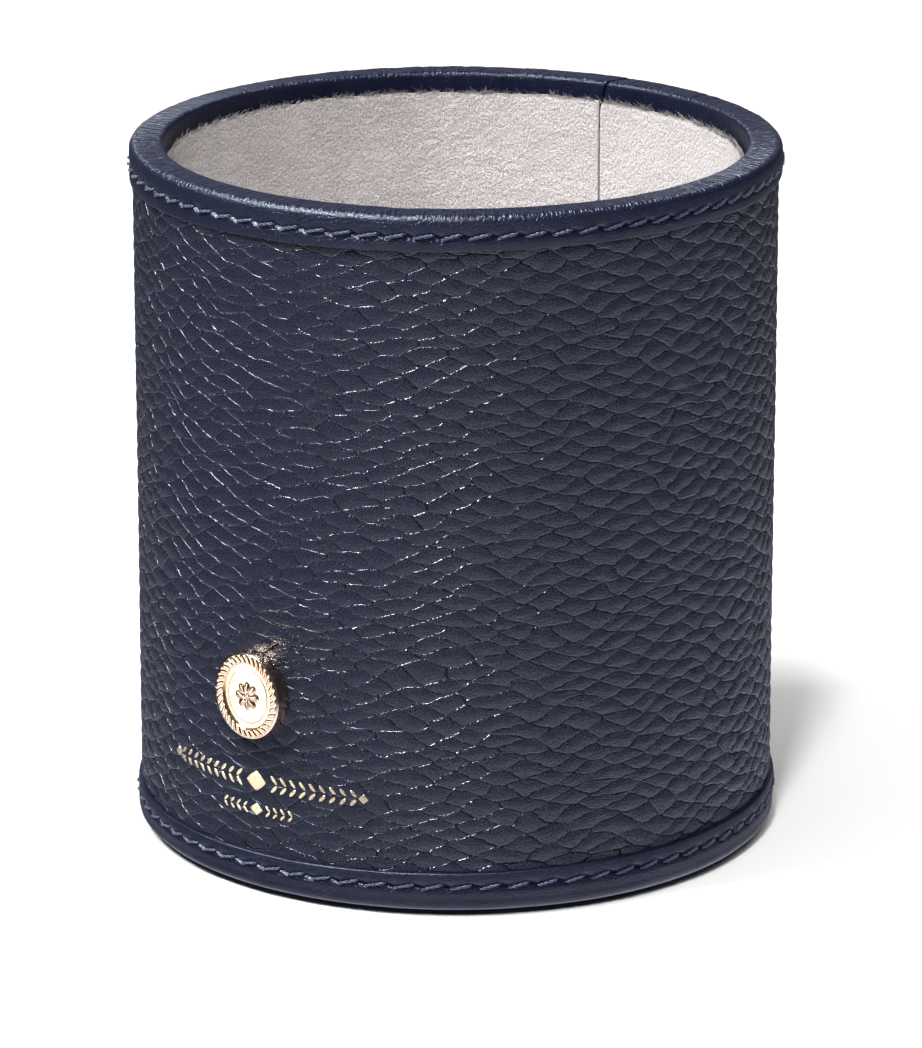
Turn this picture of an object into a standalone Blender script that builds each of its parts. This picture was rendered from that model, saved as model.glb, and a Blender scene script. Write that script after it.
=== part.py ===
"""A round leather-covered pen pot: board tube, leather wrap, stitched bindings, suede lining and a metal badge.

Metres, +Z up. The origin is the centre of the base, on the surface that the pot stands on.
The front, which carries the badge, faces -Y. The sheets' butt seams are at the back.
"""
import math

import bmesh
import bpy
import numpy as np
from mathutils import Matrix, Vector

MM = 0.001

# Driving dimensions.
HEIGHT = 100.0 * MM
BINDING_RADIUS = 46.1 * MM       # outside of the two bindings, the widest turned pieces
WRAP_INSET = 0.4 * MM            # how far the wrap's grain side sits inside the bindings
GLUE_GAP = 0.3 * MM              # clearance that stands for each glue line
BINDING_THICKNESS = 0.8 * MM
SKIVED_THICKNESS = 0.5 * MM      # the wrap, pared thin under each binding
BOARD_THICKNESS = 1.9 * MM       # the tube's wall
SUEDE_THICKNESS = 0.7 * MM
CARD_THICKNESS = 1.5 * MM        # the floor's stiffening card
BASE_BOARD_THICKNESS = 2.3 * MM
PAD_THICKNESS = 0.5 * MM         # the pad that the pot stands on
PAD_RADIUS = 42.5 * MM
TURN_UNDER = 8.1 * MM            # how far the bottom binding runs under the base
TOP_BINDING_DEPTH = 5.0 * MM     # rim to the binding's lower outside edge
INNER_LEG_DEPTH = 7.1 * MM       # rim to the end of the binding's inside leg
BOTTOM_BINDING_TOP = 6.4 * MM
LINING_DROP = 3.0 * MM           # rim to the suede's top edge
RIM_ROUNDING = 1.5 * MM          # outside edge of the rim
EDGE_ROUNDING = 0.8 * MM         # inside edge of the rim, and bottom edge of the pot
SEAM_GAP = 0.3 * MM
SEAM_ANGLE = math.radians(97)    # anticlockwise from +X, seen from above: just left of straight behind

STITCH_COUNT = 75
THREAD_RADIUS = 0.2 * MM
STITCH_RISE = 0.25 * MM          # each stitch climbs twice this
STITCH_SHARE = 0.62              # part of the pitch that shows as a stitch
TOP_STITCH_DROP = 2.9 * MM       # rim to the stitch line
BOTTOM_STITCH_HEIGHT = 4.45 * MM
CHANNEL_HALF_HEIGHT = 0.75 * MM  # the pressed channel that the thread lies in
CHANNEL_DEPTH = 0.45 * MM

BADGE_WIDTH = 11.2 * MM
BADGE_HEIGHT = 12.4 * MM
BADGE_CENTRE = 29.5 * MM         # height of its middle above the table
BADGE_RIM = 1.2 * MM             # width of the raised border
BADGE_STEP = 0.25 * MM           # height of the border above the field
BADGE_FACE_RADIUS = 47.8 * MM    # distance of its flat front from the pot's axis
PIN_RADIUS = 0.5 * MM
PIN_SPACING = 6.4 * MM
BACKING_SIZE = 9.0 * MM
BACKING_THICKNESS = 0.6 * MM

SEGMENTS = 64
PIN_SEGMENTS = 12
BADGE_SEGMENTS = 40
ROUNDING_STEPS = 3

# Radii and heights that follow.
WRAP_RADIUS = BINDING_RADIUS - WRAP_INSET
SKIVED_RADIUS = BINDING_RADIUS - BINDING_THICKNESS - GLUE_GAP
WRAP_INNER = SKIVED_RADIUS - SKIVED_THICKNESS
TUBE_OUTER = WRAP_INNER - GLUE_GAP
TUBE_INNER = TUBE_OUTER - BOARD_THICKNESS
LEG_OUTER = TUBE_INNER - GLUE_GAP
RIM_INNER = LEG_OUTER - BINDING_THICKNESS
LINING_OUTER = RIM_INNER - GLUE_GAP
LINING_INNER = LINING_OUTER - SUEDE_THICKNESS
FLOOR_RADIUS = LINING_INNER - GLUE_GAP

BINDING_BOTTOM = PAD_THICKNESS + GLUE_GAP
UNDERSIDE = BINDING_BOTTOM + BINDING_THICKNESS + GLUE_GAP
TUBE_TOP = HEIGHT - BINDING_THICKNESS - GLUE_GAP
TOP_BINDING_EDGE = HEIGHT - TOP_BINDING_DEPTH
INNER_LEG_END = HEIGHT - INNER_LEG_DEPTH
BASE_BOARD_TOP = UNDERSIDE + BASE_BOARD_THICKNESS
WALL_START = BASE_BOARD_TOP + GLUE_GAP
LINING_TOP = HEIGHT - LINING_DROP
TOP_STITCH_HEIGHT = HEIGHT - TOP_STITCH_DROP
TURN_UNDER_RADIUS = BINDING_RADIUS - TURN_UNDER


def make_material(name, color, roughness, metallic=0.0):
    """A plain Principled material."""
    material = bpy.data.materials.new(name)
    material.use_nodes = True
    shader = material.node_tree.nodes["Principled BSDF"]
    shader.inputs["Base Color"].default_value = (*color, 1.0)
    shader.inputs["Roughness"].default_value = roughness
    shader.inputs["Metallic"].default_value = metallic
    return material


def link_mesh(name, bm, material, smooth=True):
    """Puts a finished bmesh into the scene as one named object."""
    bmesh.ops.recalc_face_normals(bm, faces=bm.faces)
    mesh = bpy.data.meshes.new(name)
    bm.to_mesh(mesh)
    bm.free()
    if smooth:
        mesh.shade_smooth()
        mesh.set_sharp_from_angle(angle=math.radians(35))
    mesh.materials.append(material)
    piece = bpy.data.objects.new(name, mesh)
    bpy.context.scene.collection.objects.link(piece)
    return piece


def arc(center, radius, first, last):
    """Points of a rounded corner in a profile: (radius, height) pairs, angles in degrees."""
    return [
        (center[0] + radius * math.cos(math.radians(a)), center[1] + radius * math.sin(math.radians(a)))
        for a in np.linspace(first, last, ROUNDING_STEPS + 1)
    ]


def turned(name, profile, material, seam=0.0, start=0.0):
    """Turns a closed (radius, height) profile round the pot's axis.

    A seam leaves that angle open, so the piece is a bent strip with two ends instead of a ring.
    """
    bm = bmesh.new()
    corners = [bm.verts.new((r, 0, z)) for r, z in profile]
    face = bm.faces.new(corners)
    bmesh.ops.rotate(bm, verts=bm.verts, cent=(0, 0, 0), matrix=Matrix.Rotation(start + seam / 2, 3, "Z"))
    if seam == 0.0:
        bm.faces.remove(face)
    sweep = 2 * math.pi - seam
    steps = max(2, round(SEGMENTS * sweep / (2 * math.pi)))
    bmesh.ops.spin(
        bm, geom=bm.verts[:] + bm.edges[:] + bm.faces[:], cent=(0, 0, 0), axis=(0, 0, 1),
        angle=sweep, steps=steps, use_merge=seam == 0.0, use_duplicate=False,
    )
    return link_mesh(name, bm, material)


def ring_profile(inner, outer, bottom, top):
    """A rectangular section."""
    return [(inner, bottom), (outer, bottom), (outer, top), (inner, top)]


def disc(name, radius, bottom, top, material):
    """A flat round piece on the pot's axis."""
    bm = bmesh.new()
    bmesh.ops.create_cone(
        bm, cap_ends=True, segments=SEGMENTS, radius1=radius, radius2=radius, depth=top - bottom,
        matrix=Matrix.Translation((0, 0, (top + bottom) / 2)),
    )
    return link_mesh(name, bm, material)


def cut(piece, cutter):
    """Subtracts a hidden cutter from a piece."""
    cutter.hide_render = True
    cutter.display_type = "WIRE"
    modifier = piece.modifiers.new("cut " + cutter.name, "BOOLEAN")
    modifier.operation = "DIFFERENCE"
    modifier.solver = "EXACT"
    modifier.object = cutter


def channel(height):
    """The pressed stitch channel in a binding's outside, from its lower edge to its upper edge."""
    floor = BINDING_RADIUS - CHANNEL_DEPTH
    low = height - CHANNEL_HALF_HEIGHT
    high = height + CHANNEL_HALF_HEIGHT
    return [(BINDING_RADIUS, low), (floor, low), (floor, high), (BINDING_RADIUS, high)]


def make_board(material):
    """The rigid tube and the disc that closes it."""
    turned("core_tube", ring_profile(TUBE_INNER, TUBE_OUTER, UNDERSIDE, TUBE_TOP), material)
    disc("base_board", LEG_OUTER, UNDERSIDE, BASE_BOARD_TOP, material)


def make_wrap(material, seam):
    """The grain leather sheet: full thickness on show, pared thin where a binding covers it."""
    low_step = BOTTOM_BINDING_TOP + GLUE_GAP
    high_step = TOP_BINDING_EDGE - GLUE_GAP
    profile = [
        (WRAP_INNER, UNDERSIDE), (SKIVED_RADIUS, UNDERSIDE), (SKIVED_RADIUS, low_step),
        (WRAP_RADIUS, low_step), (WRAP_RADIUS, high_step), (SKIVED_RADIUS, high_step),
        (SKIVED_RADIUS, TUBE_TOP), (WRAP_INNER, TUBE_TOP),
    ]
    turned("leather_wrap", profile, material, seam, SEAM_ANGLE)


def make_bindings(material, seam):
    """The strip folded over the rim, and the strip folded under the base."""
    leg = BINDING_RADIUS - BINDING_THICKNESS
    crown = HEIGHT - BINDING_THICKNESS
    over_rim = [(leg, TOP_BINDING_EDGE), (BINDING_RADIUS, TOP_BINDING_EDGE)]
    over_rim += channel(TOP_STITCH_HEIGHT)
    over_rim += arc((BINDING_RADIUS - RIM_ROUNDING, HEIGHT - RIM_ROUNDING), RIM_ROUNDING, 0, 90)
    over_rim += arc((RIM_INNER + EDGE_ROUNDING, HEIGHT - EDGE_ROUNDING), EDGE_ROUNDING, 90, 180)
    over_rim += [(RIM_INNER, INNER_LEG_END), (LEG_OUTER, INNER_LEG_END), (LEG_OUTER, crown), (leg, crown)]
    turned("top_binding", over_rim, material, seam, SEAM_ANGLE)

    fold_top = BINDING_BOTTOM + BINDING_THICKNESS
    under_base = [(TURN_UNDER_RADIUS, BINDING_BOTTOM)]
    under_base += arc((BINDING_RADIUS - EDGE_ROUNDING, BINDING_BOTTOM + EDGE_ROUNDING), EDGE_ROUNDING, -90, 0)
    under_base += channel(BOTTOM_STITCH_HEIGHT)
    under_base += [
        (BINDING_RADIUS, BOTTOM_BINDING_TOP), (leg, BOTTOM_BINDING_TOP),
        (leg, fold_top), (TURN_UNDER_RADIUS, fold_top),
    ]
    turned("bottom_binding", under_base, material, seam, SEAM_ANGLE)


def make_lining(suede, card, seam):
    """The suede inside, and the card that brings the wall and floor level under it."""
    turned("infill_card", ring_profile(RIM_INNER, LEG_OUTER, WALL_START, INNER_LEG_END - GLUE_GAP), card)
    turned("wall_lining", ring_profile(LINING_INNER, LINING_OUTER, WALL_START, LINING_TOP), suede, seam, SEAM_ANGLE)
    card_top = WALL_START + CARD_THICKNESS
    suede_bottom = card_top + GLUE_GAP
    disc("floor_card", FLOOR_RADIUS, WALL_START, card_top, card)
    disc("floor_lining", FLOOR_RADIUS, suede_bottom, suede_bottom + SUEDE_THICKNESS, suede)


def make_underside(pad, card):
    """The card disc inside the turned-under leather, and the pad that covers both."""
    disc("base_infill", TURN_UNDER_RADIUS - GLUE_GAP, BINDING_BOTTOM, BINDING_BOTTOM + BINDING_THICKNESS, card)
    disc("base_cover", PAD_RADIUS, 0, PAD_THICKNESS, pad)


def make_stitching(name, height, material):
    """One thread all the way round: each stitch climbs, then drops to where the next one starts."""
    pitch = 2 * math.pi / STITCH_COUNT
    curve = bpy.data.curves.new(name, "CURVE")
    curve.dimensions = "3D"
    curve.bevel_depth = THREAD_RADIUS
    curve.bevel_resolution = 0
    thread = curve.splines.new("POLY")
    thread.points.add(2 * STITCH_COUNT - 1)
    for i, point in enumerate(thread.points):
        stitch, end = divmod(i, 2)
        angle = (stitch + STITCH_SHARE * end) * pitch
        lift = STITCH_RISE if end else -STITCH_RISE
        point.co = (BINDING_RADIUS * math.cos(angle), BINDING_RADIUS * math.sin(angle), height + lift, 1)
    thread.use_cyclic_u = True
    curve.materials.append(material)
    piece = bpy.data.objects.new(name, curve)
    bpy.context.scene.collection.objects.link(piece)


def oval(scale, depth):
    """Corner points of an upright oval, scaled about the badge's middle, at a distance in front of the axis.

    depth is a number for a flat ring of points, or None for one that follows the curved leather.
    """
    clearance = WRAP_RADIUS + GLUE_GAP
    points = []
    for i in range(BADGE_SEGMENTS):
        a = 2 * math.pi * i / BADGE_SEGMENTS
        x = scale[0] * math.cos(a)
        reach = math.sqrt(clearance ** 2 - x ** 2) if depth is None else depth
        points.append(Vector((x, -reach, BADGE_CENTRE + scale[1] * math.sin(a))))
    return points


def make_badge(material):
    """An oval plate with a raised border, a back hollowed to the leather, and two pins."""
    half = (BADGE_WIDTH / 2, BADGE_HEIGHT / 2)
    field = (half[0] - BADGE_RIM, half[1] - BADGE_RIM)
    chamfer = (half[0] - BADGE_STEP, half[1] - BADGE_STEP)
    step_back = BADGE_FACE_RADIUS - BADGE_STEP
    rings = [
        oval((0.35 * half[0], 0.35 * half[1]), None), oval((0.7 * half[0], 0.7 * half[1]), None),
        oval(half, None), oval(half, step_back), oval(chamfer, BADGE_FACE_RADIUS),
        oval(field, BADGE_FACE_RADIUS), oval(field, step_back),
    ]
    bm = bmesh.new()
    loops = [[bm.verts.new(p) for p in ring] for ring in rings]
    edges = [[bm.edges.new((ring[i - 1], ring[i])) for i in range(BADGE_SEGMENTS)] for ring in loops]
    for lower, upper in zip(edges, edges[1:]):
        bmesh.ops.bridge_loops(bm, edges=lower + upper)
    bm.faces.new(loops[0])
    bm.faces.new(loops[-1])
    plate = link_mesh("badge", bm, material)

    length = WRAP_RADIUS - TUBE_OUTER + 2 * BACKING_THICKNESS + 0.6 * MM
    inner_end = TUBE_OUTER - BACKING_THICKNESS - 0.3 * MM
    for side in (-1, 1):
        pin = pin_shape("pin", PIN_RADIUS, inner_end, inner_end + length, side, material)
        join = plate.modifiers.new("pin", "BOOLEAN")
        join.operation = "UNION"
        join.solver = "EXACT"
        join.object = pin
        pin.hide_render = True
        pin.display_type = "WIRE"


def pin_shape(name, radius, inner, outer, side, material):
    """A round bar that points out of the front of the pot, above (1) or below (-1) the badge's middle."""
    bm = bmesh.new()
    place = Matrix.Translation((0, -(inner + outer) / 2, BADGE_CENTRE + side * PIN_SPACING / 2))
    bmesh.ops.create_cone(
        bm, cap_ends=True, segments=PIN_SEGMENTS, radius1=radius, radius2=radius, depth=outer - inner,
        matrix=place @ Matrix.Rotation(math.radians(90), 4, "X"),
    )
    return link_mesh(name, bm, material, smooth=False)


def make_backing(material):
    """The plate behind the leather, in a recess in the tube, with the holes that the badge's pins pass."""
    outer = TUBE_OUTER
    inner = outer - BACKING_THICKNESS
    half = BACKING_SIZE / 2
    angle = BACKING_SIZE / outer
    front = math.radians(-90)
    low, high = BADGE_CENTRE - half, BADGE_CENTRE + half
    open_angle = 2 * math.pi - angle
    plate = turned("badge_backing", ring_profile(inner, outer, low, high), material, open_angle, front + math.pi)

    clear = 2 * GLUE_GAP / outer
    recess_profile = ring_profile(inner - GLUE_GAP, outer + GLUE_GAP, low - GLUE_GAP, high + GLUE_GAP)
    recess = turned("recess", recess_profile, material, open_angle - clear, front + math.pi)
    cut(bpy.data.objects["core_tube"], recess)
    for side in (-1, 1):
        hole = pin_shape("pin_hole", PIN_RADIUS + GLUE_GAP, inner - GLUE_GAP, WRAP_RADIUS + GLUE_GAP, side, material)
        cut(plate, hole)
        cut(bpy.data.objects["leather_wrap"], hole)


def main():
    for piece in list(bpy.data.objects):
        bpy.data.objects.remove(piece)

    grain_leather = make_material("grain_leather", (0.035, 0.040, 0.072), 0.5)
    smooth_leather = make_material("smooth_leather", (0.028, 0.032, 0.060), 0.42)
    suede = make_material("suede", (0.55, 0.52, 0.51), 0.95)
    board = make_material("board", (0.42, 0.38, 0.31), 0.9)
    thread = make_material("thread", (0.05, 0.07, 0.15), 0.55)
    gold = make_material("gold_plate", (0.89, 0.68, 0.45), 0.18, 1.0)
    steel = make_material("steel_plate", (0.55, 0.55, 0.56), 0.35, 1.0)

    seam = SEAM_GAP / BINDING_RADIUS
    make_board(board)
    make_wrap(grain_leather, seam)
    make_bindings(smooth_leather, seam)
    make_lining(suede, board, seam)
    make_underside(suede, board)
    make_stitching("top_stitching", TOP_STITCH_HEIGHT, thread)
    make_stitching("bottom_stitching", BOTTOM_STITCH_HEIGHT, thread)
    make_badge(gold)
    make_backing(steel)


main()
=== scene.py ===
"""Leather pen pot: leather, suede, stitching, plaque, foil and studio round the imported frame.

Every length inside the shape functions is in millimetres; skin() turns them to metres as it writes a mesh.
The pot stands on z = 0 and its axis is the Z axis. -Y is its front, where the plaque is.
"""

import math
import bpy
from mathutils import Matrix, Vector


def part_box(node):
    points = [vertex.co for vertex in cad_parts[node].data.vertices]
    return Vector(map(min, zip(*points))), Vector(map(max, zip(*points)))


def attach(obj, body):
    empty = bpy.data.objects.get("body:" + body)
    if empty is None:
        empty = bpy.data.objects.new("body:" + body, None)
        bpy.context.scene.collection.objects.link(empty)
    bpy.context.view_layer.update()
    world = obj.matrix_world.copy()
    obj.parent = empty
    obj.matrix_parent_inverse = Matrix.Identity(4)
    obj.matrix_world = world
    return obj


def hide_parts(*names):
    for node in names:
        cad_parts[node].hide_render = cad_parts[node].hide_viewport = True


bl_info = {
    "name": "Leather Pen Pot",
    "version": (1, 0, 0),
    "blender": (4, 5, 0),
    "location": "View3D > Sidebar > Pen Pot",
    "description": "Builds the leather, suede, stitching, plaque and foil of a pen pot round its frame",
    "category": "Add Mesh",
}

import bmesh
import bpy
import numpy as np
from mathutils import Vector

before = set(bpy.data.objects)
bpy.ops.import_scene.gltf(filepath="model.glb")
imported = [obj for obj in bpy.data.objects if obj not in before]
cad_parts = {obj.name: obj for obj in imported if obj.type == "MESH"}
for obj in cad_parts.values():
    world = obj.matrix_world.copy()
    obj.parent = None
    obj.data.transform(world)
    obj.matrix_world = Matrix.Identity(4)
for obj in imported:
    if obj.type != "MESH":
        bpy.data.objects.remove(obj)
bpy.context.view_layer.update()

MM = 0.001
BODY = "root"


def extent(node):
    """Nearest and farthest distance from the axis, lowest and highest point of a CAD node, in millimetres."""
    points = np.array([vertex.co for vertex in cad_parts[node].data.vertices]) / MM
    distance = np.hypot(points[:, 0], points[:, 1])
    return distance.min(), distance.max(), points[:, 2].min(), points[:, 2].max()


RIM_INNER, RIM_OUTER, INNER_LEG_END, HEIGHT = extent("top_binding")
FOLD_INNER, _, FOLD_BOTTOM, BASE_EDGE = extent("bottom_binding")
WRAP_INNER, WRAP_OUTER, WRAP_BOTTOM, WRAP_TOP = extent("leather_wrap")
LINING_INNER, LINING_OUTER, LINING_BOTTOM, LINING_TOP = extent("wall_lining")
BADGE_LOW, BADGE_HIGH = (np.array(corner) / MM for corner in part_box("badge"))
BADGE_CENTRE = (BADGE_LOW[2] + BADGE_HIGH[2]) / 2


# ---------------------------------------------------------------- settings

class PotLeather(bpy.types.PropertyGroup):
    grain_color: bpy.props.StringProperty(
        name="Grain leather", description="sRGB hex colour of the pebble-grain hide", default="181B28")
    smooth_color: bpy.props.StringProperty(
        name="Smooth leather", description="sRGB hex colour of the two bindings", default="10142A")
    cell_length: bpy.props.FloatProperty(
        name="Pebble length", description="Length of one pebble of grain round the pot",
        default=7.0 * MM, unit="LENGTH")
    cell_height: bpy.props.FloatProperty(
        name="Pebble height", description="Height of one pebble of grain", default=2.8 * MM, unit="LENGTH")
    pillow: bpy.props.FloatProperty(
        name="Pebble relief", description="How far a pebble stands above the creases",
        default=0.18 * MM, unit="LENGTH")
    crease: bpy.props.FloatProperty(
        name="Crease depth", description="Depth of the sharp crease between pebbles",
        default=0.15 * MM, unit="LENGTH")


class PotBinding(bpy.types.PropertyGroup):
    thickness: bpy.props.FloatProperty(
        name="Thickness", description="Thickness of the binding leather", default=0.8 * MM, unit="LENGTH")
    rim_depth: bpy.props.FloatProperty(
        name="Rim depth", description="Rim to the cut edge of the upper binding", default=5.0 * MM, unit="LENGTH")
    edge_slope: bpy.props.FloatProperty(
        name="Edge slope", description="How far the hand-laid strips climb from one side of the pot to the middle",
        default=0.5 * MM, unit="LENGTH")
    slope_towards: bpy.props.FloatProperty(
        name="Slope towards", description="Direction in which the strips climb, anticlockwise from +X",
        default=math.radians(37.5), subtype="ANGLE")
    seam_angle: bpy.props.FloatProperty(
        name="Seam angle", description="Where the sheets' ends meet, anticlockwise from +X",
        default=math.radians(96), subtype="ANGLE")
    seam_gap: bpy.props.FloatProperty(
        name="Seam gap", description="Width of the dark line between a sheet's two ends",
        default=0.22 * MM, unit="LENGTH")


class PotStitches(bpy.types.PropertyGroup):
    rim_count: bpy.props.IntProperty(
        name="Rim stitches", description="Stitches round the upper binding", default=76)
    base_count: bpy.props.IntProperty(
        name="Base stitches", description="Stitches round the lower binding", default=72)
    length: bpy.props.FloatProperty(
        name="Stitch length", description="Length of thread that shows", default=2.5 * MM, unit="LENGTH")
    rise: bpy.props.FloatProperty(
        name="Stitch rise", description="How far a stitch climbs from its start to its end",
        default=0.56 * MM, unit="LENGTH")
    ply: bpy.props.FloatProperty(
        name="Ply width", description="Width of one of the thread's two plies", default=0.25 * MM, unit="LENGTH")
    rim_inset: bpy.props.FloatProperty(
        name="Rim line", description="Cut edge of the upper binding to its stitch line",
        default=2.1 * MM, unit="LENGTH")
    base_inset: bpy.props.FloatProperty(
        name="Base line", description="Cut edge of the lower binding to its stitch line",
        default=1.95 * MM, unit="LENGTH")
    color: bpy.props.StringProperty(name="Thread", description="sRGB hex colour of the thread", default="222F50")


class PotLining(bpy.types.PropertyGroup):
    color: bpy.props.StringProperty(name="Suede", description="sRGB hex colour of the suede", default="C2BCBB")
    fibres: bpy.props.IntProperty(
        name="Edge fibres", description="Loose fibres along the suede's cut edge", default=5200)
    fibre_length: bpy.props.FloatProperty(
        name="Fibre length", description="Typical length of a loose fibre", default=0.75 * MM, unit="LENGTH")


class PotMetal(bpy.types.PropertyGroup):
    gold_color: bpy.props.StringProperty(
        name="Gold plating", description="sRGB hex colour of the plated plaque", default="EDCFB2")
    foil_color: bpy.props.StringProperty(
        name="Gold foil", description="sRGB hex colour of the stamped foil", default="F2D9B2")
    border: bpy.props.FloatProperty(
        name="Rope border", description="Width of the plaque's twisted border", default=1.1 * MM, unit="LENGTH")
    twists: bpy.props.IntProperty(name="Twists", description="Turns of rope round the plaque", default=34)


class PotStage(bpy.types.PropertyGroup):
    azimuth: bpy.props.FloatProperty(
        name="Camera azimuth", description="Round from the front of the pot", default=math.radians(37.5),
        subtype="ANGLE")
    elevation: bpy.props.FloatProperty(
        name="Camera elevation", description="Above the table", default=math.radians(16.72), subtype="ANGLE")
    distance: bpy.props.FloatProperty(
        name="Camera distance", description="From the middle of the pot", default=0.8379, unit="LENGTH")
    lens: bpy.props.FloatProperty(name="Lens", description="Focal length in mm on a 36 mm film", default=200.6)
    target: bpy.props.FloatProperty(
        name="Target height", description="Height on the axis at which the camera looks", default=0.0496,
        unit="LENGTH")
    rise: bpy.props.FloatProperty(
        name="Lens rise", description="Vertical shift as a share of the long side", default=-0.0432)
    slide: bpy.props.FloatProperty(
        name="Lens slide", description="Sideways shift as a share of the long side", default=0.0049)


# ---------------------------------------------------------------- shape tools

def corner(centre, radius, first, last, count):
    """Points of an arc about centre, from angle first to last in degrees."""
    turn = np.radians(np.linspace(first, last, count))
    return np.stack([centre[0] + radius * np.cos(turn), centre[1] + radius * np.sin(turn)], -1)


def path(start, *stretches):
    """A section drawn from a start point: each stretch is an arc's points, or (end, count) for a straight line of
    count points from where the last one ended. A point that two stretches share is kept once, and so is the
    start of a section that comes back to it."""
    points = np.array([start], float)
    for stretch in stretches:
        if isinstance(stretch, tuple):
            end, count = stretch
            stretch = np.linspace(points[-1], end, count)
        points = np.concatenate([points, stretch])
    points = points[np.concatenate([[True], np.linalg.norm(np.diff(points, axis=0), axis=1) > 1e-6])]
    return points[:-1] if np.linalg.norm(points[-1] - points[0]) < 1e-6 else points


def run(section):
    """Length along a section from its first point to each of its points."""
    step = np.linalg.norm(np.diff(section, axis=0), axis=1)
    return np.concatenate([[0], np.cumsum(step)])


def facing(section):
    """Outward direction at each point of a closed anticlockwise section: its run turned a quarter clockwise."""
    along = np.roll(section, -1, axis=0) - np.roll(section, 1, axis=0)
    along /= np.linalg.norm(along, axis=1)[:, None]
    return np.stack([along[:, 1], -along[:, 0]], -1)


def ripple(across, up, width, height, seed):
    """Smooth random relief from -1 to 1: random values on a lattice of cells, blended with a smoothstep."""
    values = np.random.RandomState(seed).uniform(-1, 1, (256, 256))
    x, y = np.broadcast_arrays(across / width, up / height)
    i, j = np.floor(x).astype(int), np.floor(y).astype(int)
    s, t = x - i, y - j
    s, t = s * s * (3 - 2 * s), t * t * (3 - 2 * t)
    low = values[i % 256, j % 256] * (1 - s) + values[(i + 1) % 256, j % 256] * s
    high = values[i % 256, (j + 1) % 256] * (1 - s) + values[(i + 1) % 256, (j + 1) % 256] * s
    return low * (1 - t) + high * t


def turned(angle, radius, height):
    """Points at an angle round the axis, a distance from it and a height; the three arrays broadcast."""
    angle, radius, height = np.broadcast_arrays(angle, radius, height)
    return np.stack([radius * np.cos(angle), radius * np.sin(angle), height], -1)


def solid(name, points, faces, uv, material, merged=False):
    """One smooth mesh object from points in millimetres, faces and the UV of each face's corners in turn.

    With no uv, each face covers the whole map.
    """
    mesh = bpy.data.meshes.new(name)
    mesh.from_pydata((points.reshape(-1, 3) * MM).tolist(), [], faces)
    layer = mesh.uv_layers.new(name="UVMap")
    if uv is not None:
        layer.data.foreach_set("uv", uv.astype(np.float32).ravel())
    if merged:
        shape = bmesh.new()
        shape.from_mesh(mesh)
        bmesh.ops.remove_doubles(shape, verts=shape.verts, dist=1e-7)
        bmesh.ops.dissolve_degenerate(shape, edges=shape.edges, dist=1e-7)
        shape.to_mesh(mesh)
        shape.free()
    mesh.shade_smooth()
    mesh.materials.append(material)
    piece = bpy.data.objects.new(name, mesh)
    bpy.context.scene.collection.objects.link(piece)
    return piece


def strands(name, points, uv, material, turned_out=True):
    """Many short closed tubes: points is (tube, ring, side, 3), and both ends of each tube get a cap.

    uv has one pair for each point, or is None. turned_out is False where the sides run the other way round.
    """
    count, rings, sides = points.shape[:3]
    index = np.arange(rings * sides).reshape(rings, sides)
    quads = np.stack([index[:-1], np.roll(index[:-1], -1, 1), np.roll(index[1:], -1, 1), index[1:]], -1)
    quads, first, last = quads.reshape(-1, 4), index[0][::-1], index[-1]
    if not turned_out:
        quads, first, last = quads[:, ::-1], first[::-1], last[::-1]
    offsets = np.arange(count)[:, None, None] * rings * sides
    faces = [(part + offsets).reshape(-1, part.shape[-1]) for part in (quads, first[None], last[None])]
    if uv is not None:
        uv = uv[np.concatenate([part.ravel() for part in faces])]
    return solid(name, points, [face for part in faces for face in part.tolist()], uv, material)


def skin(name, points, across, up, material, closed=(False, False), capped=False, merged=False):
    """One mesh from a grid of points: neighbours i, i + 1 and j, j + 1 make a quad that faces i cross j.

    across and up are the grid's own measures in millimetres, kept as its UV map. closed joins the last row
    or column to the first, capped fills a tube's two ends, and merged welds the points that meet at a pole.
    """
    rows, columns = points.shape[:2]
    across, up = np.broadcast_arrays(across, up)
    i = np.arange(rows if closed[0] else rows - 1)[:, None]
    j = np.arange(columns if closed[1] else columns - 1)[None, :]
    i, j = np.broadcast_arrays(i, j)
    corners = [(i, j), (i + 1, j), (i + 1, j + 1), (i, j + 1)]
    quads = np.stack([(a % rows) * columns + b % columns for a, b in corners], -1).reshape(-1, 4)
    limit = (across.shape[0] - 1, across.shape[1] - 1)
    measures = [(np.minimum(a, limit[0]), np.minimum(b, limit[1])) for a, b in corners]
    uv = np.stack([np.stack([across[a, b], up[a, b]], -1) for a, b in measures], -2).reshape(-1, 2)
    faces = quads.tolist()
    if capped:
        faces.append(list(range(columns)))
        faces.append(list(range(rows * columns - 1, (rows - 1) * columns - 1, -1)))
        uv = np.concatenate([uv, np.zeros((2 * columns, 2))])
    return solid(name, points, faces, uv, material, merged)


def place(piece, slot, *nodes):
    """Rides the piece on the pot and hides the CAD nodes that it stands for. Its slot is not used."""
    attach(piece, BODY)
    if nodes:
        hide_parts(*nodes)


# ---------------------------------------------------------------- material tools

def color(code):
    """A linear RGBA colour from sRGB hex digits, by the sRGB curve."""
    parts = [int(code[k:k + 2], 16) / 255 for k in (0, 2, 4)]
    return (*[c / 12.92 if c <= 0.04045 else ((c + 0.055) / 1.055) ** 2.4 for c in parts], 1.0)


def wire(tree, node, inputs):
    """Gives sockets their inputs: a value, another node's first output, or one of its other outputs."""
    for key, value in inputs.items():
        if isinstance(value, bpy.types.Node):
            value = value.outputs[0]
        if isinstance(value, bpy.types.NodeSocket):
            tree.links.new(value, node.inputs[key])
        else:
            node.inputs[key].default_value = value


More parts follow.
